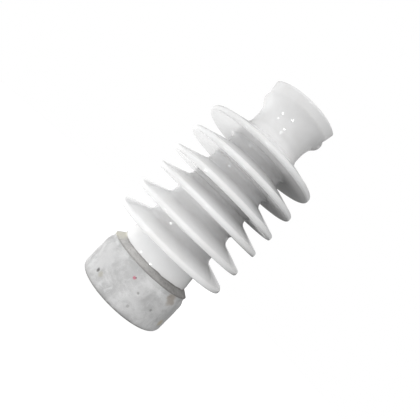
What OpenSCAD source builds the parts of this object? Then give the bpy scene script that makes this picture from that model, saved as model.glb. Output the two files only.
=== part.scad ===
// Tie-top porcelain line post insulator, cemented into a tapped iron base.
// Z is up. The origin is the centre of the base's flat underside.
// The conductor groove across the head runs along X.

/* [Overall] */
// Height from the underside of the base to the top of the head
total_h = 305; // [303:1:309]

/* [Sheds] */
// Radius of the sheds
shed_r = 78; // [70:0.5:84]
// Height of each shed's underside, lowest first
shed_z = [82.5, 111.6, 141, 167.6, 197.8, 228.2]; // [80:0.1:230]
// Thickness of a shed at its rim
rim_h = 7.4; // [6:0.1:8]
// Rounding of the drip edge under the rim
drip_round = 2.2; // [1:0.1:2.5]
// Rounding of the rim's upper edge
rim_round = 3.6; // [2.5:0.1:4.5]
// Slope of a shed's upper face
shed_slope = 19; // [14:0.5:20]
// How far the underside rises from the drip edge to the core
under_rise = 1.4; // [0.5:0.1:2.5]

/* [Core] */
// Radius of the core just below the lowest shed
core_low_r = 45.4; // [44:0.2:47]
// Radius of the core just below the highest shed
core_high_r = 38.6; // [37:0.2:41]
// Radius of the barrel where it leaves the cement
barrel_r = 47.2; // [46.8:0.1:48]

/* [Head] */
// Radius of the neck, the side tie groove
neck_r = 35.5; // [34:0.5:37]
// Height at which the neck starts to flare
flare_z = 264; // [263:0.5:265]
// Curvature radius of the flare
flare_curve_r = 40; // [38:0.5:41]
// Steepest angle of the flare, from the vertical
flare_angle = 42; // [41:0.5:43]
// Outside radius of the head
head_r = 48; // [47.6:0.2:49]
// Slope of the band around the head's rim, from the vertical
band_angle = 8; // [6:1:9]
// Curvature radius of the crease under the band
crease_r = 4; // [3:0.5:5]
// Radius of the conductor groove across the head
groove_r = 15; // [14:0.5:16]
// Depth of the conductor groove
groove_depth = 14; // [12:0.5:14]
// Distance of each lip's face from the axis
lip_reach = 43.8; // [43:0.2:45]
// Radius of each lip's face, seen from above
lip_r = 15.6; // [14:0.2:18]
// Height of each lip, below the groove's floor
lip_h = 11; // [10:0.5:13]
// Radius of the bell mouth at each end of the groove, seen from above
mouth_r = 21; // [19:0.5:22]

/* [Base] */
// Outside radius of the iron base
base_r = 58.4; // [57:0.2:60]
// Height of the iron base
base_h = 52.3; // [50:0.5:54]
// Radius of the base's top edge, where the cement slope starts
base_top_r = 55.6; // [55:0.2:56.5]
// Rounding of the base's bottom edge
base_round = 7; // [4:0.5:9]
// Thickness of the floor of the cup
floor_t = 20; // [18:0.5:22]
// Radius of the cup's inside wall
cup_r = 51.6; // [51:0.1:52.2]
// Depth of the two keying grooves in the cup's wall
key_depth = 1.6; // [1:0.1:2]
// Radius of the tapped stud hole's wall
stud_hole_r = 8.33; // [6.7:0.01:9.7]
// Width of the chamfer at the stud hole's mouth
hole_chamfer = 1.6; // [0.8:0.1:2]

/* [Joint] */
// Radius of the shank inside the cup
shank_r = 46; // [45.5:0.1:46.2]
// Thickness of the cork disc under the shank
cork_t = 2.5; // [1.5:0.5:3]
// Radius of the cork disc
cork_r = 44; // [40:1:45]
// Thickness of the grit band fired on to the shank
grit_t = 1.2; // [0.8:0.1:1.4]
// Thickness of the bituminous coats
coat_t = 0.5; // [0.3:0.1:0.6]
// Height at which the cement slope meets the porcelain
slope_top_z = 58.2; // [57:0.2:59]

/* [Hidden] */
$fn = 96;

shed_count = len(shed_z);
core_fillet = 7;        // radius of the fillet between a shed's upper face and the core
neck_fillet = 12;       // the same fillet, from the highest shed to the neck
under_fillet = 5;       // radius of the fillet between a shed's underside and the core
shank_z = floor_t + cork_t;
shank_shoulder_z = 55;  // the shank widens to the barrel here, inside the cement
shank_chamfer = 2;
grit_low_z = 28;
grit_high_z = 51;
crease_z = total_h - 11.6;  // height of the crease's axis
top_round = 3;          // rounding of the head's top edge
groove_z = total_h - groove_depth + groove_r;  // height of the groove's axis
lip_top_z = total_h - groove_depth;
mouth_x = head_r + 7;   // distance of each bell mouth's axis from the head's axis
mouth_z = lip_top_z + 0.5;
lip_low_round = 6;      // roundings of each lip's lower and upper edges
lip_top_round = 2;
key_zs = [27, 39];      // where each keying groove starts
key_h = 8;
slack = 1;              // cutting shapes run this far past what they cut

// Points of a circular arc, from one angle to another
function arc(x, z, r, from, to, steps = 5) =
    [for (i = [0:steps]) let (a = from + (to - from) * i / steps) [x + r * cos(a), z + r * sin(a)]];

// The core tapers evenly between the lowest and the highest shed
function core_at(z) =
    core_low_r + (core_high_r - core_low_r) * (z - shed_z[0]) / (shed_z[shed_count - 1] - shed_z[0]);

// Outline of one shed, from the core below it, round the rim, to the core above it
function shed_outline(z, below_r, above_r, fillet) =
    let (rim_x = shed_r - rim_round,
         rim_z = z + rim_h - rim_round,
         face_x = rim_x + rim_round * sin(shed_slope),
         face_z = rim_z + rim_round * cos(shed_slope),
         fillet_x = above_r + fillet,
         fillet_z = face_z + (fillet - (fillet_x - face_x) * sin(shed_slope)) / cos(shed_slope))
    concat(arc(below_r + under_fillet, z + under_rise - under_fillet, under_fillet, 180, 90),
           arc(shed_r - drip_round, z + drip_round, drip_round, -90, 0, 4),
           arc(rim_x, rim_z, rim_round, 0, 90 - shed_slope, 5),
           arc(fillet_x, fillet_z, fillet, 270 - shed_slope, 180, 6));

// Radius of the band around the rim at the given height
function band_at(z) = head_r - (total_h - top_round - z) * tan(band_angle);

// Outline of the head, from the neck, up the flare and over the rim
function head_outline() =
    let (crease_x = band_at(crease_z - crease_r * sin(band_angle)) - crease_r * cos(band_angle))
    concat(arc(neck_r + flare_curve_r, flare_z, flare_curve_r, 180, 180 - flare_angle, 8),
           arc(crease_x, crease_z, crease_r, -flare_angle, -band_angle, 3),
           arc(head_r - top_round, total_h - top_round, top_round, -band_angle, 90, 6));

// Inside wall of the cup, from the floor up, moved inwards by the given distance
function cup_wall(inset) =
    concat([[cup_r - inset, floor_t]],
           [for (z = key_zs, p = [[0, 0], [key_depth, key_depth], [key_depth, key_h - key_depth], [0, key_h]])
               [cup_r + p[0] - inset, z + p[1]]],
           [[cup_r - inset, base_h]]);

// One whole turn of an outline about Z
module turned(points) {
    rotate_extrude() polygon(points);
}

module post_turning() {
    turned(concat(
        [[0, shank_z], [shank_r - shank_chamfer, shank_z], [shank_r, shank_z + shank_chamfer],
         [shank_r, shank_shoulder_z - 1], [barrel_r, shank_shoulder_z], [barrel_r, slope_top_z + 4]],
        [for (i = [0:shed_count - 1])
            let (last = i == shed_count - 1, z = shed_z[i])
            each shed_outline(z, core_at(z), last ? neck_r : core_at(z + 20), last ? neck_fillet : core_fillet)],
        head_outline(),
        [[0, total_h]]));
}

// A round lip that stands out of the flare under one end of the groove
module lip(side) {
    low_z = lip_top_z - lip_h;
    translate([side * (lip_reach - lip_r), 0, 0]) turned(concat(
        [[0, low_z]],
        arc(lip_r - lip_low_round, low_z + lip_low_round, lip_low_round, -90, 0),
        arc(lip_r - lip_top_round, lip_top_z - lip_top_round, lip_top_round, 0, 90),
        [[0, lip_top_z]]));
}

// The round groove, opened out in plan at both ends
module groove_cut() {
    run = head_r + slack;
    translate([-run, 0, groove_z]) rotate([0, 90, 0]) cylinder(r = groove_r, h = 2 * run);
    for (side = [-1, 1])
        translate([side * mouth_x, 0, mouth_z]) cylinder(r = mouth_r, h = total_h + slack - mouth_z);
}

module porcelain_body() {
    color("white") difference() {
        union() {
            post_turning();
            for (side = [-1, 1]) lip(side);
        }
        groove_cut();
    }
}

module base_casting() {
    color("lightgray") difference() {
        turned(concat(
            [[0, 0]],
            arc(base_r - base_round, base_round, base_round, -90, 0, 6),
            [[base_r, base_h - 14], [base_r - 0.8, base_h - 6], [base_top_r + 0.9, base_h - 1.4],
             [base_top_r, base_h]],
            [for (i = [len(cup_wall(0)) - 1:-1:0]) cup_wall(0)[i]],
            [[0, floor_t]]));
        translate([0, 0, -slack]) cylinder(r = stud_hole_r, h = floor_t + 2 * slack);
        translate([0, 0, -slack]) cylinder(r1 = stud_hole_r + hole_chamfer + slack, r2 = stud_hole_r - slack,
                                           h = hole_chamfer + 2 * slack);
    }
}

module cement_joint() {
    wall = cup_wall(coat_t);
    color("gray") turned(concat(
        [[cork_r, floor_t]],
        wall,
        [[cup_r, base_h], [base_top_r - coat_t, base_h], [barrel_r, slope_top_z - coat_t],
         [barrel_r, shank_shoulder_z], [shank_r, shank_shoulder_z - 1],
         [shank_r, grit_high_z], [shank_r + grit_t + coat_t, grit_high_z],
         [shank_r + grit_t + coat_t, grit_low_z], [shank_r, grit_low_z],
         [shank_r, shank_z + shank_chamfer], [shank_r - shank_chamfer, shank_z], [cork_r, shank_z]]));
}

module fillet_coat() {
    color("dimgray") turned([[base_top_r - coat_t, base_h], [base_top_r, base_h],
                             [barrel_r, slope_top_z], [barrel_r, slope_top_z - coat_t]]);
}

module ring(inner_r, outer_r, low_z, high_z) {
    translate([0, 0, low_z]) difference() {
        cylinder(r = outer_r, h = high_z - low_z);
        translate([0, 0, -slack]) cylinder(r = inner_r, h = high_z - low_z + 2 * slack);
    }
}

module sand_band() {
    color("tan") ring(shank_r, shank_r + grit_t, grit_low_z, grit_high_z);
}

module shank_bitumen() {
    color("black") ring(shank_r + grit_t, shank_r + grit_t + coat_t, grit_low_z, grit_high_z);
}

module socket_bitumen() {
    inner = cup_wall(coat_t);
    color("black") turned(concat(cup_wall(0), [for (i = [len(inner) - 1:-1:0]) inner[i]]));
}

module cushion_disc() {
    color("peru") translate([0, 0, floor_t]) cylinder(r = cork_r, h = cork_t);
}

porcelain_body();
base_casting();
cement_joint();
fillet_coat();
sand_band();
shank_bitumen();
socket_bitumen();
cushion_disc();
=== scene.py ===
# A tie-top porcelain line post insulator, cemented into a tapped iron base.
# Shapes are worked out in millimetres. Meshes, materials, lamps and the camera are in metres.
import itertools
import math

import bpy
import numpy as np
from mathutils import Matrix, Vector


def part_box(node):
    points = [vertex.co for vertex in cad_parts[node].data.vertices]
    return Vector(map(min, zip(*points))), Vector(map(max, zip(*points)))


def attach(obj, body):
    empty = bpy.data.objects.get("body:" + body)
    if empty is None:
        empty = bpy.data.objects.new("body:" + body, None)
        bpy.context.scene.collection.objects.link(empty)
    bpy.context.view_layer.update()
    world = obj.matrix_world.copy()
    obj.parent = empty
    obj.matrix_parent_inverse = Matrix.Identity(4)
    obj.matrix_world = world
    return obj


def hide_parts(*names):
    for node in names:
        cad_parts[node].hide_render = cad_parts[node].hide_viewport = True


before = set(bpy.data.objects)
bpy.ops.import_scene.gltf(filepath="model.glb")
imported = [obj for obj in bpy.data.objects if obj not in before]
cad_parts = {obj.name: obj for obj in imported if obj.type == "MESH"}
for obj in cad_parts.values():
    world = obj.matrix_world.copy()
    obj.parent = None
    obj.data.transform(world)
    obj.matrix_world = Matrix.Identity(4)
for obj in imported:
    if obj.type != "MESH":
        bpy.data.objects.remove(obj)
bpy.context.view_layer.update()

MM = 0.001
ROOT = "root"

# Porcelain
TOP_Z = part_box("porcelain_body")[1].z / MM
SHANK_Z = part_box("porcelain_body")[0].z / MM
SHED_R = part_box("porcelain_body")[1].x / MM
SHED_Z = [82.5, 111.6, 141, 167.6, 197.8, 228.2]
RIM_H = 7.4
DRIP_ROUND = 2.2
RIM_ROUND = 3.6
SHED_SLOPE = math.radians(19)
UNDER_RISE = 1.4
UNDER_FILLET = 5
CORE_FILLET = 7
NECK_FILLET = 12
CORE_LOW_R = 45.4
CORE_HIGH_R = 38.6
BARREL_R = 47.2
SHANK_R = 46
SHANK_CHAMFER = 2
SHOULDER_Z = 55
NECK_R = 35.5
NECK_JOIN_Z = 259
FLARE_Z = 264
FLARE_CURVE_R = 40
FLARE_ANGLE = math.radians(40)
HEAD_R = 48
BAND_ANGLE = math.radians(8)
HEAD_ROUND = 3
GROOVE_R = 15
GROOVE_DEPTH = 14
GROOVE_Z = TOP_Z - GROOVE_DEPTH + GROOVE_R
GROOVE_EDGE = 3.5
LIP_REACH = 43.8
LIP_R = 15.6
LIP_TOP_Z = TOP_Z - GROOVE_DEPTH
LIP_H = 11
LIP_CUT = 7.5
LEFT_MOUTH = 15
RIGHT_MOUTH = 20

# Base and joint
BASE_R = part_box("base_casting")[1].x / MM
BASE_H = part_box("base_casting")[1].z / MM
BASE_TOP_R = 55.6
BASE_ROUND = 7
BASE_CURVE_R = 16
BASE_EDGE_ROUND = 1.2
FLOOR_T = 20
CUP_R = 51.6
KEY_DEPTH = 1.6
KEY_H = 8
KEY_ZS = (27, 39)
STUD_HOLE_R = 8.33
THREAD_R = 9.4
THREAD_PITCH = 2.54
HOLE_CHAMFER = 1.6
SLOPE_TOP_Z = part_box("fillet_coat")[1].z / MM


# ---------------------------------------------------------------- noise

def lattice_noise(points, cell, seed):
    """Smooth noise from -1 to 1 on a lattice of random values with cells of this size."""
    values = np.random.default_rng(seed).uniform(-1, 1, (32, 32, 32))
    scaled = points / cell
    low = np.floor(scaled).astype(int)
    part = scaled - low
    part = part * part * (3 - 2 * part)
    total = np.zeros(len(points))
    for corner in itertools.product((0, 1), repeat=3):
        weight = np.prod(np.where(corner, part, 1 - part), axis=1)
        index = (low + corner) % 32
        total += weight * values[index[:, 0], index[:, 1], index[:, 2]]
    return total


def layered_noise(points, cell, seed):
    """Three layers of noise, each half the size and strength of the last."""
    return sum(lattice_noise(points, cell / 2**i, seed + i) / 2**i for i in range(3))


def smoothstep(value, low, high):
    """0 below two limits, 1 above them, and a soft step between."""
    share = np.clip((value - low) / (high - low), 0, 1)
    return share * share * (3 - 2 * share)


# ---------------------------------------------------------------- outlines and meshes

def arc(x, z, radius, start, end, steps=8):
    """Points of an arc, with its angles in degrees."""
    angles = np.radians(np.linspace(start, end, steps + 1))
    return [(x + radius * math.cos(t), z + radius * math.sin(t)) for t in angles]


def spaced(outline, step):
    """The outline with points added so that none are further apart than this."""
    points = [outline[0]]
    for (x0, z0), (x1, z1) in itertools.pairwise(outline):
        count = max(1, math.ceil(math.hypot(x1 - x0, z1 - z0) / step))
        shares = [i / count for i in range(1, count + 1)]
        points += [(x0 + (x1 - x0) * share, z0 + (z1 - z0) * share) for share in shares]
    return points


def turned(outline, segments, closed=True):
    """Vertices and quads of an outline turned about Z. A closed one joins its last point to its first."""
    radius, height = np.array(outline, float).T
    angles = np.linspace(0, 2 * math.pi, segments, endpoint=False)
    vertices = np.stack([np.outer(radius, np.sin(angles)), -np.outer(radius, np.cos(angles)),
                         np.repeat(height[:, None], segments, 1)], -1).reshape(-1, 3)
    rows = len(outline) if closed else len(outline) - 1
    row, column = np.meshgrid(np.arange(rows), np.arange(segments), indexing="ij")
    above, beside = (row + 1) % len(outline), (column + 1) % segments
    quads = np.stack([row * segments + column, row * segments + beside,
                      above * segments + beside, above * segments + column], -1).reshape(-1, 4)
    return vertices, quads


def mesh_piece(name, vertices, faces, material, replaces):
    """A smooth-shaded piece that stands for a CAD node."""
    mesh = bpy.data.meshes.new(name)
    mesh.from_pydata((np.asarray(vertices) * MM).tolist(), [], faces)
    mesh.validate()
    mesh.shade_smooth()
    mesh.materials.append(material)
    piece = bpy.data.objects.new(name, mesh)
    bpy.context.scene.collection.objects.link(piece)
    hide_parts(replaces)
    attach(piece, ROOT)
    return piece


# ---------------------------------------------------------------- porcelain

def core_at(z):
    """Radius of the core, which tapers evenly from the lowest shed to the highest."""
    share = (z - SHED_Z[0]) / (SHED_Z[-1] - SHED_Z[0])
    return CORE_LOW_R + (CORE_HIGH_R - CORE_LOW_R) * share


def shed_outline(z, below_r, above_r, fillet):
    """Outline of one shed, from the core below it, round the rim, to the core above it."""
    slope = math.degrees(SHED_SLOPE)
    rim_x = SHED_R - RIM_ROUND
    rim_z = z + RIM_H - RIM_ROUND
    face_x = rim_x + RIM_ROUND * math.sin(SHED_SLOPE)
    face_z = rim_z + RIM_ROUND * math.cos(SHED_SLOPE)
    fillet_x = above_r + fillet
    fillet_z = face_z + (fillet - (fillet_x - face_x) * math.sin(SHED_SLOPE)) / math.cos(SHED_SLOPE)
    return (arc(below_r + UNDER_FILLET, z + UNDER_RISE - UNDER_FILLET, UNDER_FILLET, 180, 90)
            + arc(SHED_R - DRIP_ROUND, z + DRIP_ROUND, DRIP_ROUND, -90, 0, 6)
            + arc(rim_x, rim_z, RIM_ROUND, 0, 90 - slope, 7)
            + arc(fillet_x, fillet_z, fillet, 270 - slope, 180, 10))


def post_outline():
    """The porcelain from the middle of its end face up to the neck."""
    outline = [(0.01, SHANK_Z), (SHANK_R - SHANK_CHAMFER, SHANK_Z), (SHANK_R, SHANK_Z + SHANK_CHAMFER),
               (SHANK_R, SHOULDER_Z - 1), (BARREL_R, SHOULDER_Z), (BARREL_R, SLOPE_TOP_Z + 4)]
    for z in SHED_Z:
        top = z == SHED_Z[-1]
        above_r = NECK_R if top else core_at(z + 20)
        outline += shed_outline(z, core_at(z), above_r, NECK_FILLET if top else CORE_FILLET)
    return spaced(outline + [(NECK_R, NECK_JOIN_Z - 0.6)], 2.2)


def settle_sheds(vertices):
    """Each shed tilts and waves a little, as fired porcelain does. None grows past the sheds' radius."""
    random = np.random.default_rng(11)
    radius = np.hypot(vertices[:, 0], vertices[:, 1])
    angle = np.arctan2(vertices[:, 1], vertices[:, 0])
    out = smoothstep(radius, 46, SHED_R)
    for z in SHED_Z:
        near = out * (np.abs(vertices[:, 2] - z - 4) < 13)
        tilt, wave = random.uniform(0.15, 0.4), random.uniform(0.05, 0.15)
        turn, phase = random.uniform(0, 2 * math.pi, 2)
        vertices[:, 2] += near * (tilt * np.sin(angle - turn) + wave * np.sin(3 * angle - phase))
        shrink = 1 - near * (0.0012 + 0.0012 * np.sin(2 * angle - phase))
        vertices[:, 0] *= shrink
        vertices[:, 1] *= shrink


def blend_max(a, b, width):
    """The larger of two distances, rounded where they meet."""
    mix = np.clip(width - np.abs(a - b), 0, None) / width
    return np.maximum(a, b) + mix * mix * width / 4


def flare_radius(z):
    """Radius of the head at a height: the neck, the flare, and the band around the rim."""
    flare_end = FLARE_Z + FLARE_CURVE_R * math.sin(FLARE_ANGLE)
    up = np.clip(z, FLARE_Z, flare_end) - FLARE_Z
    flare = NECK_R + FLARE_CURVE_R - np.sqrt(FLARE_CURVE_R**2 - up**2)
    flare += np.clip(z - flare_end, 0, None) * math.tan(FLARE_ANGLE)
    band = HEAD_R - (TOP_Z - HEAD_ROUND - z) * math.tan(BAND_ANGLE)
    return -blend_max(-flare, -band, width=1.2)


def head_distance(points):
    """Rough distance from the head's surface, negative inside it."""
    x, y, z = points.T
    radius = np.hypot(x, y)
    slope = flare_radius(z + 0.5) - flare_radius(z - 0.5)
    side = (radius - flare_radius(z)) / np.sqrt(1 + slope * slope)
    head = blend_max(side, z - TOP_Z, width=GROOVE_EDGE)
    # A lip under each end of the groove, with its lower edge cut away at 45 degrees
    lip_plan = np.hypot(np.abs(x) - LIP_REACH + LIP_R, y) - LIP_R
    lip_middle = LIP_TOP_Z - 1 - LIP_H / 2
    lip = blend_max(lip_plan, np.abs(z - lip_middle) - LIP_H / 2, width=5)
    lip = blend_max(lip, (lip_plan + LIP_TOP_Z - LIP_CUT - z) * 0.707, width=2)
    head = -blend_max(-head, -lip, width=3)
    # The groove along X, which opens out into a mouth at each end. The right one narrows upwards.
    groove = np.hypot(y, z - GROOVE_Z) - GROOVE_R
    above_lip = np.clip(z - LIP_TOP_Z - 2, 0, 12)
    widest = np.where(x > 0, RIGHT_MOUTH - 0.3 * above_lip, LEFT_MOUTH)
    mouth = np.abs(y) - 2 - widest * smoothstep(np.abs(x), 28, 46)
    mouth = blend_max(mouth, LIP_TOP_Z - z, width=4)
    head = blend_max(head, -groove, width=GROOVE_EDGE)
    head = blend_max(head, -mouth, width=GROOVE_EDGE)
    return head + 0.08 * (1 + lattice_noise(points, 19, 5)) * smoothstep(z, NECK_JOIN_Z, NECK_JOIN_Z + 8)


def onto_surface(points, distance, step=0.05):
    """Points moved onto the surface where a distance is nought."""
    for _ in range(3):
        here = distance(points)
        slopes = [(distance(points + step * axis) - here) / step for axis in np.eye(3)]
        gradient = np.stack(slopes, -1)
        length = np.maximum((gradient * gradient).sum(1, keepdims=True), 0.2)
        points = points - here[:, None] * gradient / length
    return points


def netted(distance, low, high, step):
    """The surface where a distance is nought, in a box that is left open at the bottom.

    Gives its vertices, its quads, and which vertices are on the open edge.
    """
    axes = [np.arange(a, b, step) for a, b in zip(low, high)]
    shape = tuple(len(axis) for axis in axes)
    grid = np.stack(np.meshgrid(*axes, indexing="ij"), -1).reshape(-1, 3)
    inside = (distance(grid) < 0).reshape(shape)
    corners = sum(inside[i:shape[0] - 1 + i, j:shape[1] - 1 + j, k:shape[2] - 1 + k].astype(int)
                  for i, j, k in itertools.product((0, 1), repeat=3))
    cells = np.argwhere((corners > 0) & (corners < 8))
    number = np.full(corners.shape, -1)
    number[tuple(cells.T)] = np.arange(len(cells))
    quads = []
    for axis in range(3):
        beside, above = (axis + 1) % 3, (axis + 2) % 3
        start = inside.take(range(shape[axis] - 1), axis)
        end = inside.take(range(1, shape[axis]), axis)
        edges = np.argwhere(start != end)
        edges = edges[(edges[:, beside] > 0) & (edges[:, above] > 0)]
        edges = edges[(edges[:, beside] < shape[beside] - 1) & (edges[:, above] < shape[above] - 1)]
        around = []
        for back, down in ((1, 1), (0, 1), (0, 0), (1, 0)):
            cell = edges.copy()
            cell[:, beside] -= back
            cell[:, above] -= down
            around.append(number[tuple(cell.T)])
        quad = np.stack(around, -1)
        outward = start[tuple(edges.T)]
        quads.append(np.where(outward[:, None], quad, quad[:, ::-1]))
    vertices = np.array(low, float) + (cells + 0.5) * step
    return vertices, np.concatenate(quads), cells[:, 2] == 0


def relaxed(vertices, quads, fixed, distance, rounds=6):
    """Vertices spread evenly over the surface."""
    for _ in range(rounds):
        total, count = np.zeros_like(vertices), np.zeros(len(vertices))
        for side in range(4):
            a, b = quads[:, side], quads[:, (side + 1) % 4]
            np.add.at(total, a, vertices[b])
            np.add.at(total, b, vertices[a])
            np.add.at(count, a, 1)
            np.add.at(count, b, 1)
        middle = total / np.maximum(count, 1)[:, None]
        vertices = np.where(fixed[:, None], vertices, 0.4 * vertices + 0.6 * middle)
        vertices = onto_surface(vertices, distance)
    return vertices


def stitched(low_ring, high_ring, vertices):
    """Triangles between two rings round Z with different numbers of vertices."""
    def by_angle(ring):
        return sorted((math.atan2(vertices[i][1], vertices[i][0]), i) for i in ring)
    low, high = by_angle(low_ring), by_angle(high_ring)
    low.append((low[0][0] + 2 * math.pi, low[0][1]))
    high.append((high[0][0] + 2 * math.pi, high[0][1]))
    i = j = 0
    triangles = []
    while i < len(low) - 1 or j < len(high) - 1:
        if j == len(high) - 1 or (i < len(low) - 1 and low[i + 1][0] < high[j + 1][0]):
            triangles.append((low[i][1], low[i + 1][1], high[j][1]))
            i += 1
        else:
            triangles.append((low[i][1], high[j + 1][1], high[j][1]))
            j += 1
    return triangles


def make_porcelain(material):
    """The turned post with the head on top, as one closed mesh."""
    segments = 256
    outline = post_outline()
    post, post_quads = turned(outline, segments, closed=False)
    settle_sheds(post)
    low = (-HEAD_R - 2, -HEAD_R - 2, NECK_JOIN_Z)
    high = (HEAD_R + 2.5, HEAD_R + 2.5, TOP_Z + 2)
    head, head_quads, open_edge = netted(head_distance, low, high, step=0.9)
    head = onto_surface(head, head_distance)
    head = relaxed(head, head_quads, open_edge, head_distance)
    head[:, 2] = np.minimum(head[:, 2], TOP_Z)
    vertices = np.concatenate([post, head])
    low_ring = range(len(post) - segments, len(post))
    high_ring = np.flatnonzero(open_edge) + len(post)
    faces = post_quads.tolist() + (head_quads + len(post)).tolist()
    faces += stitched(low_ring, high_ring.tolist(), vertices)
    faces.append(tuple(range(segments))[::-1])
    return mesh_piece("porcelain_post", vertices, faces, material, "porcelain_body")


# ---------------------------------------------------------------- base casting

def cup_wall():
    """Inside wall of the cup, from the floor up."""
    wall = [(CUP_R, FLOOR_T)]
    for z in KEY_ZS:
        wall += [(CUP_R, z), (CUP_R + KEY_DEPTH, z + KEY_DEPTH),
                 (CUP_R + KEY_DEPTH, z + KEY_H - KEY_DEPTH), (CUP_R, z + KEY_H)]
    return wall + [(CUP_R, BASE_H)]


def casting_outline():
    """Closed outline of the cup, round from the mouth of the stud hole."""
    mouth_r = STUD_HOLE_R + HOLE_CHAMFER
    outside = ([(mouth_r, 0)] + arc(BASE_R - BASE_ROUND, BASE_ROUND, BASE_ROUND, -90, 0, 10)
               + arc(BASE_R - BASE_CURVE_R, BASE_H - 14, BASE_CURVE_R, 0, 34, 8)
               + arc(BASE_TOP_R - BASE_EDGE_ROUND, BASE_H - BASE_EDGE_ROUND, BASE_EDGE_ROUND, 30, 90, 4))
    hole = [(STUD_HOLE_R, FLOOR_T), (STUD_HOLE_R, HOLE_CHAMFER)]
    return (spaced(outside, 1.0) + spaced([(CUP_R + 0.3, BASE_H), (CUP_R, BASE_H - 0.3)], 1)
            + spaced(cup_wall()[::-1][1:], 4) + spaced(hole, 0.22) + spaced([(mouth_r, 0)], 1))


def cut_thread(vertices):
    """The stud hole's wall, cut back into a right-hand thread."""
    radius = np.hypot(vertices[:, 0], vertices[:, 1])
    z = vertices[:, 2]
    in_hole = (radius < STUD_HOLE_R + 0.01) & (z > HOLE_CHAMFER - 0.01)
    turn = np.arctan2(vertices[:, 1], vertices[:, 0]) / (2 * math.pi)
    phase = (z / THREAD_PITCH - turn) % 1
    depth = np.clip((np.abs(2 * phase - 1) - 0.25) / 0.625, 0, 1)
    fade = smoothstep(z, HOLE_CHAMFER, HOLE_CHAMFER + 0.8) * (1 - smoothstep(z, FLOOR_T - 0.6, FLOOR_T))
    grow = 1 + in_hole * fade * depth * (THREAD_R - STUD_HOLE_R) / STUD_HOLE_R
    vertices[:, 0] *= grow
    vertices[:, 1] *= grow


# Dents and blowholes in the casting's side: angle from the front in degrees, height, size, depth
BLOWHOLES = [
    (-38.5, 16.2, 2.1, 1.0), (11.5, 31.0, 1.4, 0.45), (35.8, 25.2, 1.5, 0.55),
    (13, 14, 1.7, 0.25), (74, 30, 1.4, 0.8), (118, 17, 1.7, 1.0),
    (163, 36, 1.3, 0.9), (-96, 25, 1.5, 0.9), (-142, 40, 1.2, 0.7),
]


def roughen_casting(vertices):
    """Sand-cast and galvanised skin: soft waves, small lumps and a few blowholes."""
    x, y, z = vertices.T
    radius = np.hypot(x, y)
    skin = smoothstep(radius, BASE_TOP_R - 6, BASE_TOP_R - 3) + (z < 0.2) * (radius > STUD_HOLE_R + 3) * 0.6
    skin = np.clip(skin, 0, 1)
    inward = 0.28 + 0.22 * lattice_noise(vertices, 24, 21) + 0.16 * layered_noise(vertices, 5.5, 31)
    lumps = np.clip(lattice_noise(vertices, 2.6, 41) - 0.45, 0, 1) * 0.5
    inward = np.clip(inward - lumps, 0, 2)
    angle = np.degrees(np.arctan2(x, -y))
    for turn, height, size, depth in BLOWHOLES:
        off = np.hypot(np.radians((angle - turn + 180) % 360 - 180) * BASE_R, z - height)
        inward += (radius > BASE_TOP_R - 4) * depth * np.exp(-(off / size) ** 4)
    side = smoothstep(z, -0.1, 4.0)
    vertices[:, 0] -= skin * side * inward * x / np.maximum(radius, 1)
    vertices[:, 1] -= skin * side * inward * y / np.maximum(radius, 1)
    vertices[:, 2] += skin * (1 - side) * inward * (1 - smoothstep(radius, 44, 51)) * 0.5


def make_casting(material):
    """The iron cup, with its tapped hole and its cast skin."""
    vertices, quads = turned(casting_outline(), segments=384)
    cut_thread(vertices)
    roughen_casting(vertices)
    faces = quads[:, ::-1].tolist()
    return mesh_piece("base_cup", vertices, faces, material, "base_casting")


# ---------------------------------------------------------------- joint

def make_coat(material):
    """The paint over the cement slope. Its edges wander over the iron rim and up the porcelain."""
    segments = 320
    wall_r = BARREL_R + 0.15
    buried_r = BARREL_R - 0.4
    slope = [(BASE_TOP_R + 0.1, BASE_H - 0.15), (wall_r, SLOPE_TOP_Z - 0.15), (wall_r, SLOPE_TOP_Z + 0.8)]
    top = spaced(slope, 0.7)
    under = [(buried_r, SLOPE_TOP_Z + 0.6), (buried_r, SLOPE_TOP_Z - 0.8), (BASE_TOP_R - 0.5, BASE_H - 0.6)]
    vertices, quads = turned(top + under, segments)
    x, y, z = vertices.T
    radius = np.hypot(x, y)
    angle = np.arctan2(x, -y)
    ring = np.stack([np.sin(angle), np.cos(angle), np.zeros_like(angle)], -1) * BARREL_R
    # It creeps furthest up the porcelain on the left
    creep = 0.1 + 0.5 * layered_noise(ring, 9, 61) + 2.2 * np.exp(-((angle + 1.4) / 0.4) ** 2)
    on_wall = smoothstep(z, SLOPE_TOP_Z - 0.3, SLOPE_TOP_Z + 0.6)
    vertices[:, 2] += on_wall * np.clip(creep, -0.6, 3.0)
    face = np.arange(len(vertices)) < len(top) * segments
    outer = face * (1 - smoothstep(z, BASE_H, BASE_H + 0.8))
    spill = 0.5 * np.clip(layered_noise(ring, 7, 71), -0.6, 1)
    brush = 0.16 * layered_noise(vertices * (1, 1, 3), 3.2, 81) + 0.12 * lattice_noise(vertices, 12, 91)
    thick = face * (brush + 0.15)
    outward = outer * spill * 0.4 + thick * 0.5
    vertices[:, 2] += thick * 0.6 * (1 - on_wall) - outer * np.abs(spill) * 0.4
    vertices[:, :2] *= 1 + (outward / radius)[:, None]
    faces = quads[:, ::-1].tolist()
    return mesh_piece("moisture_coat", vertices, faces, material, "fillet_coat")


# ---------------------------------------------------------------- materials

def put(links, socket, value):
    """A socket linked to another, or set to a plain value."""
    if isinstance(value, bpy.types.NodeSocket):
        links.new(value, socket)
    else:
        socket.default_value = value


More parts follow.
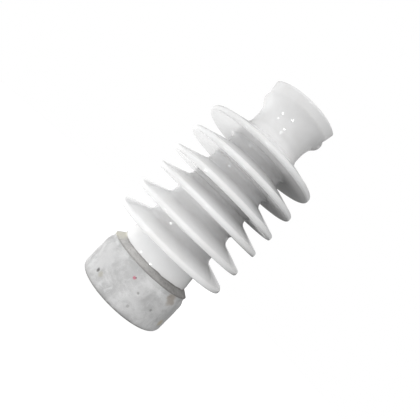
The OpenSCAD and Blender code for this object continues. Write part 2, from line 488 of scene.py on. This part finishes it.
class Graph:
    """A material's nodes."""

    def __init__(self, name):
        self.material = bpy.data.materials.new(name)
        self.material.use_nodes = True
        self.nodes = self.material.node_tree.nodes
        self.links = self.material.node_tree.links
        self.shader = self.nodes["Principled BSDF"]
        self.here = self.nodes.new("ShaderNodeTexCoord").outputs["Object"]

    def put(self, socket, value):
        put(self.links, socket, value)

    def set(self, **values):
        """Sockets of the shader, named with underscores for spaces."""
        for name, value in values.items():
            self.put(self.shader.inputs[name.replace("_", " ")], value)

    def math(self, operation, a, b):
        node = self.nodes.new("ShaderNodeMath")
        node.operation = operation
        self.put(node.inputs[0], a)
        self.put(node.inputs[1], b)
        return node.outputs[0]

    def times(self, a, b):
        return self.math("MULTIPLY", a, b)

    def mix(self, share, a, b):
        """Colour a with this share of colour b in it."""
        node = self.nodes.new("ShaderNodeMix")
        node.data_type = "RGBA"
        self.put(node.inputs["Factor"], share)
        # The colour sockets share their names with the node's other sockets, so they go by number
        self.put(node.inputs[6], a)
        self.put(node.inputs[7], b)
        return node.outputs[2]

    def length(self, vector):
        node = self.nodes.new("ShaderNodeVectorMath")
        node.operation = "LENGTH"
        self.put(node.inputs[0], vector)
        return node.outputs["Value"]

    def along(self, axis):
        """The place's distance along an axis."""
        node = self.nodes.new("ShaderNodeSeparateXYZ")
        self.put(node.inputs[0], self.here)
        return node.outputs[axis]

    def stretch(self, scale=(1, 1, 1), turn=(0, 0, 0)):
        """The place on the object, scaled and turned."""
        node = self.nodes.new("ShaderNodeMapping")
        self.put(node.inputs["Vector"], self.here)
        node.inputs["Scale"].default_value = scale
        node.inputs["Rotation"].default_value = turn
        return node.outputs[0]

    def noise(self, size, detail=3.0, roughness=0.5, distortion=0.0, at=None):
        """Noise with features of about this size, in metres."""
        node = self.nodes.new("ShaderNodeTexNoise")
        self.put(node.inputs["Vector"], at or self.here)
        node.inputs["Scale"].default_value = 1 / size
        node.inputs["Detail"].default_value = detail
        node.inputs["Roughness"].default_value = roughness
        node.inputs["Distortion"].default_value = distortion
        return node.outputs["Fac"]

    def cells(self, size, output="Distance"):
        """Cells of about this size, in metres: the distance from each one's middle, or its own colour."""
        node = self.nodes.new("ShaderNodeTexVoronoi")
        self.put(node.inputs["Vector"], self.here)
        node.inputs["Scale"].default_value = 1 / size
        return node.outputs[output]

    def range(self, value, low, high, to_low=0.0, to_high=1.0):
        """A value between two limits, smoothly spread over another range."""
        node = self.nodes.new("ShaderNodeMapRange")
        node.interpolation_type = "SMOOTHSTEP"
        for name, number in (("Value", value), ("From Min", low), ("From Max", high),
                             ("To Min", to_low), ("To Max", to_high)):
            self.put(node.inputs[name], number)
        return node.outputs["Result"]

    def spot(self, place, size, wobble=0.0):
        """1 inside a soft round spot at a place, falling to 0 at its edge."""
        node = self.nodes.new("ShaderNodeVectorMath")
        node.operation = "DISTANCE"
        self.put(node.inputs[0], self.here)
        node.inputs[1].default_value = place
        far = node.outputs["Value"]
        if wobble:
            far = self.math("ADD", far, self.times(self.noise(size * 0.7), wobble * size))
        return self.range(far, size * (0.5 + wobble * 0.5), size * (1 + wobble * 0.5), 1.0, 0.0)

    def bump(self, height, distance, below=None):
        """A normal bumped by a height from 0 to 1, which stands for this distance in metres."""
        node = self.nodes.new("ShaderNodeBump")
        node.inputs["Distance"].default_value = distance
        self.put(node.inputs["Height"], height)
        if below is not None:
            self.put(node.inputs["Normal"], below)
        return node.outputs[0]


def grey(value, warm=0.0):
    """A grey, a little redder when it is warm and bluer when that is negative."""
    return (value * (1 + warm), value, value * (1 - warm), 1.0)


def on_side(angle, z):
    """A place on the base's side: angle from the front in degrees, and height."""
    turn = math.radians(angle)
    return Vector((math.sin(turn) * BASE_R, -math.cos(turn) * BASE_R, z)) * MM


def glaze():
    """White glaze, faintly cloudy and rippled, with a rare brown speck."""
    g = Graph("white_glaze")
    tint = g.mix(g.range(g.noise(0.035, 4, 0.6), 0.35, 0.65), grey(0.79, 0.004), grey(0.83, -0.002))
    rare = g.range(g.cells(0.006, "Color"), 0.90, 0.94)
    speck = g.times(g.range(g.cells(0.006), 0.03, 0.05, 1.0, 0.0), rare)
    g.set(Base_Color=g.mix(speck, tint, (0.22, 0.16, 0.11, 1)))
    g.set(Roughness=g.range(g.noise(0.02, 3, 0.6), 0.3, 0.7, 0.06, 0.12), IOR=1.52)
    ripple = g.bump(g.noise(0.009, 2, 0.45), 0.00013)
    peel = g.bump(g.noise(0.0016, 2, 0.5), 0.00003, ripple)
    g.set(Normal=g.bump(g.times(speck, -1.0), 0.0002, peel))
    return g.material


# Marks on the casting's side: angle from the front in degrees, height, radius, wobble, share, colour
MARKS = [
    (-32, 16, 4.0, 0.9, 0.30, (0.40, 0.37, 0.24, 1)),  # a smear beside the deepest blowhole
    (49, 46.5, 9.5, 0.9, 0.55, (0.24, 0.18, 0.12, 1)),  # a brown stain under the rim
    (65, 17, 6.0, 0.9, 0.40, (0.48, 0.38, 0.20, 1)),  # yellow rust
    (-2.4, 40.3, 2.6, 0.9, 0.75, (0.52, 0.10, 0.17, 1)),  # a dab of red paint
    (-1.3, 41.3, 1.3, 0.8, 0.80, grey(0.08, 0.2)),  # a dark chip in it
]


def galvanised():
    """Weathered zinc on cast iron: patches, white rust, painted shade in the blowholes, marks, and darker
    round the foot.
    """
    g = Graph("galvanised_iron")
    patches = g.range(g.noise(0.024, 4, 0.55, 0.6), 0.34, 0.66)
    spangle = g.cells(0.0045, "Color")
    grain = g.noise(0.0011, 3, 0.65)
    shade = g.math("ADD", g.times(patches, 0.55), g.times(spangle, 0.12))
    shade = g.math("ADD", shade, g.times(grain, 0.45))
    colour = g.mix(g.range(shade, 0.2, 0.95), grey(0.45), grey(0.63))
    white_rust = g.range(g.noise(0.016, 5, 0.7, 1.0, g.stretch(turn=(0.4, 0.2, 1.1))), 0.54, 0.7)
    colour = g.mix(g.times(white_rust, 0.35), colour, grey(0.80, -0.01))
    # Painted shade in each blowhole, darker in the deeper ones
    for turn, z, size, depth in BLOWHOLES:
        hole = g.spot(on_side(turn, z), size * 1.4 * MM, 0.7)
        colour = g.mix(g.times(hole, 0.15 + 0.65 * depth), colour, grey(0.10, 0.06))
    for turn, z, radius, wobble, share, tint in MARKS:
        mark = g.spot(on_side(turn, z), radius * MM, wobble)
        colour = g.mix(g.times(mark, share), colour, tint)
    # Darker low on the outer side, round the foot, in noisy patches
    low = g.range(g.along("Z"), 0.0008, 0.0042, 1.0, 0.0)
    outer = g.range(g.length(g.stretch(scale=(1, 1, 0))), 0.048, 0.053, 0.25, 1.0)
    foot_darkening = g.times(g.times(low, outer), g.range(g.noise(0.004, 4, 0.7), 0.3, 0.6, 0.25, 1.0))
    colour = g.mix(g.times(foot_darkening, 0.85), colour, grey(0.12, 0.06))
    g.set(Base_Color=colour, Metallic=0.2, Roughness=g.range(shade, 0.2, 0.95, 0.62, 0.40))
    rough = g.bump(g.noise(0.0022, 4, 0.65), 0.00025)
    g.set(Normal=g.bump(grain, 0.00012, rough))
    return g.material


def paint():
    """Grey paint brushed over the cement, bare in one place. Painted shade makes it lighter on the left and
    darker to the right, and darker at its edges.
    """
    g = Graph("moisture_paint")
    cloud = g.range(g.noise(0.008, 5, 0.65), 0.3, 0.7)
    # Painted shade: the paint is lighter on the left and darker to the right, as the light falls across it
    painted_side_shade = g.range(g.along("X"), -0.045, 0.045, 1.0, 0.0)
    dark = g.mix(painted_side_shade, grey(0.26, 0.03), grey(0.46, 0.02))
    light = g.mix(painted_side_shade, grey(0.36, 0.03), grey(0.58, 0.02))
    colour = g.mix(cloud, dark, light)
    speck = g.range(g.noise(0.0016, 3, 0.7), 0.58, 0.66)
    colour = g.mix(g.times(speck, 0.6), colour, grey(0.14, 0.04))
    # Painted shade in the creases where the paint meets the iron rim below and the porcelain above
    low_crease_shade = g.range(g.along("Z"), BASE_H * MM + 0.0004, BASE_H * MM + 0.0013, 1.0, 0.0)
    high_crease_shade = g.range(g.along("Z"), SLOPE_TOP_Z * MM - 0.0008, SLOPE_TOP_Z * MM + 0.0002)
    edge = g.math("MAXIMUM", low_crease_shade, high_crease_shade)
    colour = g.mix(g.times(edge, 0.45), colour, grey(0.16, 0.04))
    bare = g.spot(Vector((-BARREL_R - 3, -14, SLOPE_TOP_Z - 1)) * MM, 0.019, 0.9)
    colour = g.mix(g.times(bare, 0.7), colour, (0.72, 0.70, 0.60, 1))
    g.set(Base_Color=colour, Roughness=g.range(cloud, 0.0, 1.0, 0.75, 0.55))
    g.set(Normal=g.bump(g.noise(0.0009, 4, 0.7), 0.00015))
    return g.material


def grained(name, dark, light, size, roughness, bump):
    """A plain material with a grain of this size, in metres."""
    g = Graph(name)
    grain = g.noise(size, 4, 0.65)
    patch = g.noise(size * 7, 3, 0.5)
    share = g.range(g.math("ADD", g.times(grain, 0.6), g.times(patch, 0.4)), 0.35, 0.65)
    g.set(Base_Color=g.mix(share, dark, light))
    g.set(Roughness=g.range(share, 0.0, 1.0, min(1.0, roughness + 0.12), roughness))
    g.set(Normal=g.bump(grain, bump))
    return g.material


# The pieces inside the joint keep their CAD meshes
INNER_MATERIALS = {
    "cement_joint": grained("cement", grey(0.36, 0.03), grey(0.56, 0.04), 0.0016, 0.85, 0.0003),
    "sand_band": grained("fired_grit", grey(0.48, 0.08), grey(0.74, 0.06), 0.0011, 0.7, 0.0006),
    "shank_bitumen": grained("shank_bitumen", grey(0.012), grey(0.04), 0.002, 0.35, 0.0001),
    "socket_bitumen": grained("socket_bitumen", grey(0.012), grey(0.04), 0.002, 0.35, 0.0001),
    "cushion_disc": grained("cork", (0.26, 0.15, 0.07, 1), (0.56, 0.37, 0.20, 1), 0.0022, 0.8, 0.0004),
}
for node, material in INNER_MATERIALS.items():
    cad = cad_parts[node]
    cad.data.materials.clear()
    cad.data.materials.append(material)

make_porcelain(glaze())
make_casting(galvanised())
make_coat(paint())


# ---------------------------------------------------------------- floor, light and camera

def make_floor():
    """A white floor, clear from below, that only darkens where the base stands.

    It throws no light up under the sheds.
    """
    bpy.ops.mesh.primitive_circle_add(vertices=96, radius=0.9, fill_type="TRIFAN")
    floor = bpy.context.object
    floor.name = "floor"
    material = bpy.data.materials.new("floor")
    material.use_nodes = True
    nodes, links = material.node_tree.nodes, material.node_tree.links
    nodes.clear()
    lit = nodes.new("ShaderNodeBsdfDiffuse")
    lit.inputs["Color"].default_value = (1, 1, 1, 1)
    glow = nodes.new("ShaderNodeEmission")
    glow.inputs["Strength"].default_value = 1.3
    white = nodes.new("ShaderNodeMixShader")
    white.inputs[0].default_value = 0.7
    links.new(lit.outputs[0], white.inputs[1])
    links.new(glow.outputs[0], white.inputs[2])
    seen = nodes.new("ShaderNodeMixShader")
    links.new(nodes.new("ShaderNodeNewGeometry").outputs["Backfacing"], seen.inputs[0])
    links.new(white.outputs[0], seen.inputs[1])
    links.new(nodes.new("ShaderNodeBsdfTransparent").outputs[0], seen.inputs[2])
    links.new(seen.outputs[0], nodes.new("ShaderNodeOutputMaterial").inputs["Surface"])
    floor.data.materials.append(material)
    floor.visible_shadow = False
    floor.visible_diffuse = False
    floor.visible_glossy = False


LAMP_DISTANCE = 0.8
# Window panes: azimuth and elevation in degrees, and power
PANES = [(-44, -13, 0.5), (-44, 3, 0.5), (-2, -18, 0.7), (-2, 15, 0.7)]
PANE_DISTANCE = 1.1
PANE_SIZE = (0.12, 0.06)


def hung(lamp, azimuth, elevation, distance, aim_height):
    """A lamp aimed at the axis. Azimuth 0 is on the camera's side of the object and 90 on its right."""
    turn, rise = math.radians(azimuth), math.radians(elevation)
    away = Vector((math.sin(turn) * math.cos(rise), -math.cos(turn) * math.cos(rise), math.sin(rise)))
    light = bpy.data.objects.new(lamp.name, lamp)
    light.location = Vector((0, 0, aim_height)) + away * distance
    light.rotation_mode = "QUATERNION"
    light.rotation_quaternion = away.to_track_quat("Z", "Y")
    bpy.context.scene.collection.objects.link(light)
    return light


def area_light(name, azimuth, elevation, distance, size, power, aim_height):
    """A soft rectangular lamp."""
    lamp = bpy.data.lights.new(name, "AREA")
    lamp.shape = "RECTANGLE"
    lamp.size, lamp.size_y = size
    lamp.energy = power
    return hung(lamp, azimuth, elevation, distance, aim_height)


def flagged_spot(name, azimuth, elevation, radius, power, aim_height, cone=44):
    """A round lamp, shaded so that it fades out towards the head."""
    lamp = bpy.data.lights.new(name, "SPOT")
    lamp.energy = power
    lamp.shadow_soft_size = radius
    lamp.spot_size = math.radians(cone)
    lamp.spot_blend = 1
    return hung(lamp, azimuth, elevation, LAMP_DISTANCE, aim_height)


def make_camera():
    """The photograph's view: level with the third shed, close, and rolled so that the post leans right."""
    distance, height, aside = 0.500, 0.141, 0.0038
    pitch, roll = math.radians(0.53), math.radians(44.65)
    ahead = Vector((0, math.cos(pitch), math.sin(pitch)))
    across = Vector((1, 0, 0))
    upright = across.cross(ahead)
    right = across * math.cos(roll) + upright * math.sin(roll)
    up = upright * math.cos(roll) - across * math.sin(roll)
    data = bpy.data.cameras.new("camera")
    data.lens = 36.5
    data.sensor_width = 36
    camera = bpy.data.objects.new("camera", data)
    camera.matrix_world = Matrix((
        (right.x, up.x, -ahead.x, aside),
        (right.y, up.y, -ahead.y, -distance),
        (right.z, up.z, -ahead.z, height),
        (0, 0, 0, 1)))
    bpy.context.scene.collection.objects.link(camera)
    bpy.context.scene.camera = camera


def make_world():
    """White behind the object, seen by the camera only. A soft room, brightest overhead, lights it.

    The glaze mirrors the room's far side, which is bright on the left and darkest low on the right.
    """
    world = bpy.data.worlds.new("studio")
    world.use_nodes = True
    bpy.context.scene.world = world
    nodes, links = world.node_tree.nodes, world.node_tree.links
    room = nodes["Background"]
    room.inputs["Color"].default_value = (1, 1, 1, 1)
    behind = nodes.new("ShaderNodeBackground")
    behind.inputs["Color"].default_value = (1, 1, 1, 1)
    split = nodes.new("ShaderNodeSeparateXYZ")
    links.new(nodes.new("ShaderNodeTexCoord").outputs["Generated"], split.inputs[0])

    def ramp(axis, low, high, to_low, to_high):
        """A level that changes softly between two limits along an axis of the room."""
        node = nodes.new("ShaderNodeMapRange")
        node.interpolation_type = "SMOOTHSTEP"
        links.new(split.outputs[axis], node.inputs["Value"])
        limits = {"From Min": low, "From Max": high, "To Min": to_low, "To Max": to_high}
        for name, value in limits.items():
            node.inputs[name].default_value = value
        return node.outputs["Result"]

    def blend(share, a, b):
        node = nodes.new("ShaderNodeMix")
        for name, value in (("Factor", share), ("A", a), ("B", b)):
            put(links, node.inputs[name], value)
        return node.outputs["Result"]

    def product(first, *others):
        for other in others:
            node = nodes.new("ShaderNodeMath")
            node.operation = "MULTIPLY"
            links.new(first, node.inputs[0])
            links.new(other, node.inputs[1])
            first = node.outputs[0]
        return first

    above = product(ramp("Y", -0.8, 0.5, 1.75, 0.35), ramp("X", -1, 1, 1.05, 0.75))
    near_side = ramp("X", -0.7, 0.7, 0.45, 0.58)
    far_side = ramp("X", -0.3, 0.5, 1.1, 0.5)
    level = blend(ramp("Y", -0.1, 0.5, 0, 1), near_side, far_side)
    far_left = product(ramp("X", -0.09, -0.03, 1, 0), ramp("Y", 0.1, 0.5, 0, 1),
                       ramp("Z", -0.5, -0.3, 0, 1))
    below = blend(far_left, ramp("Z", -0.7, -0.4, 0.5, 0.16), 1.2)
    light = blend(ramp("Z", 0.1, 0.4, 0, 1), level, above)
    light = blend(ramp("Z", -0.2, -0.05, 0, 1), below, light)
    low_right = product(ramp("X", -0.10, 0.06, 0, 1), ramp("Y", -0.2, 0.6, 0, 0.9),
                        ramp("Z", -0.10, 0.02, 1, 0))
    light = blend(low_right, light, 0.02)
    links.new(light, room.inputs["Strength"])
    paths = nodes.new("ShaderNodeLightPath")
    mix = nodes.new("ShaderNodeMixShader")
    links.new(paths.outputs["Is Camera Ray"], mix.inputs[0])
    links.new(room.outputs[0], mix.inputs[1])
    links.new(behind.outputs[0], mix.inputs[2])
    links.new(mix.outputs[0], nodes["World Output"].inputs["Surface"])


def make_lamps():
    """Soft lamps low down, which no surface mirrors, and panes that show only as small highlights."""
    low = flagged_spot("low", -20, -27, radius=0.15, power=6.5, aim_height=0.10)
    fill = area_light("fill", -50, -8, LAMP_DISTANCE, (0.35, 0.25), 1.1, aim_height=0.14)
    left = flagged_spot("left", -110, -27, radius=0.15, power=14, aim_height=0.08)
    right = flagged_spot("right", 62, -35, radius=0.12, power=5, aim_height=0.06, cone=24)
    for lamp in (low, fill, left, right):
        lamp.visible_glossy = False
    for azimuth, elevation, power in PANES:
        pane = area_light("pane", azimuth, elevation, PANE_DISTANCE, PANE_SIZE, power, aim_height=0.2)
        pane.visible_diffuse = False


make_camera()
make_world()
make_floor()
make_lamps()
bpy.context.scene.view_settings.view_transform = "Standard"
